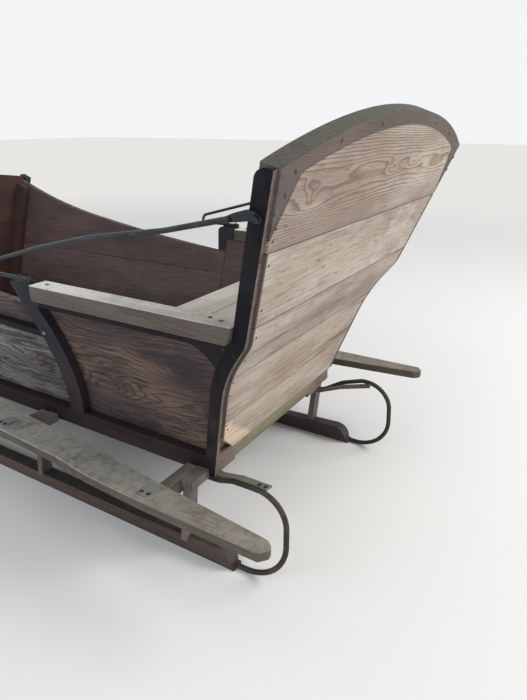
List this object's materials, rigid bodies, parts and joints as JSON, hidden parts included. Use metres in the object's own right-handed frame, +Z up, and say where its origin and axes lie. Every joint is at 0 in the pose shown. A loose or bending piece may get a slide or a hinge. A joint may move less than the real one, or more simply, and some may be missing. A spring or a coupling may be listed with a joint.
{
  "type": "horse drawn sleigh",
  "caption": "Wooden horse drawn sleigh with a flared box body, arched board back, side guard planks, iron shod runners with rear loops, and shafts that lift on a nose bar.",
  "frame": {"origin": "on the ground, midway between the runners, halfway from the rearmost point of the seat back to the shaft tips", "axes": "+Z up, the front towards -Y, the sleigh's left at +X"},
  "size_m": [1.0944, 4.3683, 1.0848],
  "materials": {
    "back_boards": "bare weathered softwood, strong grain, nail heads",
    "crest": "weathered, grey-green with moss on top",
    "dark_frame": "old dark blue-black paint, worn",
    "side_panels": "rough sawn brown boards with dark streaks",
    "inside_boards": "old red-brown paint, chipped",
    "grey_boards": "bare wood weathered grey and tan",
    "mossy_wood": "wet wood with moss",
    "runner_wood": "dark red-brown stained wood",
    "shaft_wood": "rubbed brown wood",
    "rusty_iron": "forged iron, dark and rusty",
    "worn_iron": "round iron rubbed bright over rust",
    "pale_iron": "pale galvanised plate"
  },
  "bodies": {
    "sleigh": {"arm_board_left": "grey_boards", "arm_board_right": "grey_boards", "arm_rail_left": "dark_frame", "arm_rail_right": "dark_frame", "arm_rod_left": "worn_iron", "arm_rod_right": "worn_iron", "back_board_1": "back_boards", "back_board_2": "back_boards", "back_board_3": "back_boards", "back_board_4": "back_boards", "back_board_5": "back_boards", "bolster_front": "runner_wood", "bolster_middle": "runner_wood", "bolster_rear": "runner_wood", "crest": "crest", "curved_post_left": "dark_frame", "curved_post_right": "dark_frame", "floor_boards": "grey_boards", "foot_panel_left": "side_panels", "foot_panel_right": "side_panels", "front_battens": "inside_boards", "front_boards": "inside_boards", "front_post_left": "dark_frame", "front_post_right": "dark_frame", "front_rail": "inside_boards", "guard_plank_left": "grey_boards", "guard_plank_right": "grey_boards", "legs": "runner_wood", "loop_straps": "rusty_iron", "nose_bar": "rusty_iron", "plank_plates": "pale_iron", "rear_loop_left": "rusty_iron", "rear_loop_right": "rusty_iron", "rear_post_left": "dark_frame", "rear_post_right": "dark_frame", "rear_rail": "mossy_wood", "runner_left": "runner_wood", "runner_right": "runner_wood", "seam_rail_left": "dark_frame", "seam_rail_right": "dark_frame", "seat_boards": "grey_boards", "seat_cleats": "inside_boards", "seat_panel_left": "side_panels", "seat_panel_right": "side_panels", "seat_riser": "inside_boards", "shoe_left": "rusty_iron", "shoe_right": "rusty_iron", "sill_left": "dark_frame", "sill_right": "dark_frame", "upper_board_left": "side_panels", "upper_board_right": "side_panels"},
    "shafts": {"shaft_left": "shaft_wood", "shaft_right": "shaft_wood", "shaft_eyes": "rusty_iron", "shaft_crossbar": "shaft_wood", "singletree_pin": "rusty_iron"},
    "singletree": {"singletree": "shaft_wood", "singletree_tongues": "rusty_iron"}
  },
  "joints": [
    {"name": "shafts_lift", "type": "hinge", "parent": "sleigh", "child": "shafts", "pos_m": [0, -0.04078, 0.3343], "axis": [-1, 0, 0], "range_deg": [0, 95]},
    {"name": "singletree_swing", "type": "hinge", "parent": "shafts", "child": "singletree", "pos_m": [0, -0.37631, 0.34692], "axis": [0, -0.1476, 0.989], "range_deg": [-30, 30]}
  ]
}
